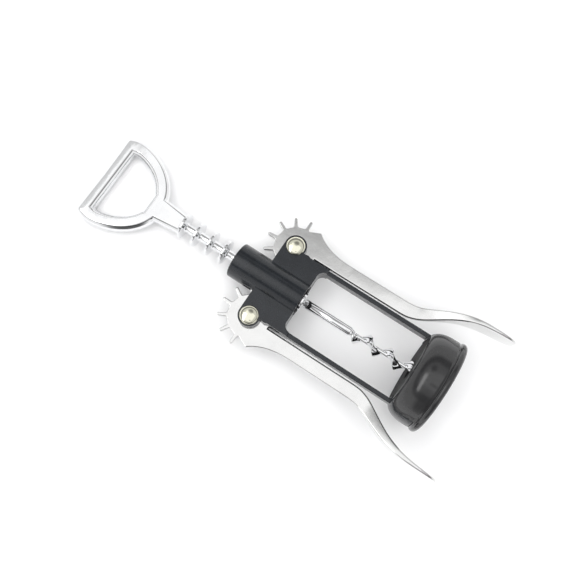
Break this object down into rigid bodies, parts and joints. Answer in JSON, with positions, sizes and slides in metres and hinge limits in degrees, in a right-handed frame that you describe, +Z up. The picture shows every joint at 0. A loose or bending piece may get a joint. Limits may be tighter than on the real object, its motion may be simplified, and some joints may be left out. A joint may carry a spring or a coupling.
{
  "type": "lever corkscrew",
  "caption": "Winged corkscrew: geared side levers lift a ringed rack with an auger worm through a barrel frame and bell; crown-cap opener handle.",
  "frame": {"origin": "centre of the footprint of the tool lying on a table, levers closed, on the table surface", "axes": "+X along the tool from the handle to the bell, +Y towards the right lever, +Z up from the table; the screw axis rises 6.22 degrees towards the bell because the tool rests on the bell's rim and the handle's back bar"},
  "size_m": [0.1924, 0.0684, 0.0428],
  "materials": {
    "frame_paint": "gloss dark navy-charcoal paint on a zinc casting",
    "bell_plastic": "gloss dark grey moulded plastic",
    "bush_acetal": "satin black acetal",
    "chrome": "polished chrome plate",
    "rivet_nickel": "pale nickel plate over brass, polished"
  },
  "bodies": {
    "body": {"frame": "frame_paint", "bell": "bell_plastic", "pivot_rivet_right": "rivet_nickel", "pivot_rivet_left": "rivet_nickel", "rivet_cap_right": "rivet_nickel", "rivet_cap_left": "rivet_nickel"},
    "bush": {"guide_bush": "bush_acetal"},
    "screw": {"handle_rack": "chrome", "worm_ferrule": "chrome", "worm": "chrome"},
    "right_lever": {"lever_right": "chrome"},
    "left_lever": {"lever_left": "chrome"}
  },
  "joints": [
    {"name": "worm_turn", "type": "hinge", "parent": "body", "child": "bush", "pos_m": [-0.00467, 0, 0.01247], "axis": [0.9941, 0, 0.1083], "continuous": true},
    {"name": "rack_slide", "type": "slide", "parent": "bush", "child": "screw", "axis": [0.9941, 0, 0.1083], "range_m": [0, 0.027]},
    {"name": "lever_right_swing", "type": "hinge", "parent": "body", "child": "right_lever", "pos_m": [-0.00467, 0.0182, 0.01247], "axis": [-0.1083, 0, 0.9941], "range_deg": [0, 111]},
    {"name": "lever_left_swing", "type": "hinge", "parent": "body", "child": "left_lever", "pos_m": [-0.00467, -0.0182, 0.01247], "axis": [0.1083, 0, -0.9941], "range_deg": [0, 111]}
  ],
  "couplings": [
    {"joint": "lever_right_swing", "follows": "rack_slide", "rad_per_m": 71.726},
    {"joint": "lever_left_swing", "follows": "rack_slide", "rad_per_m": 71.726}
  ]
}
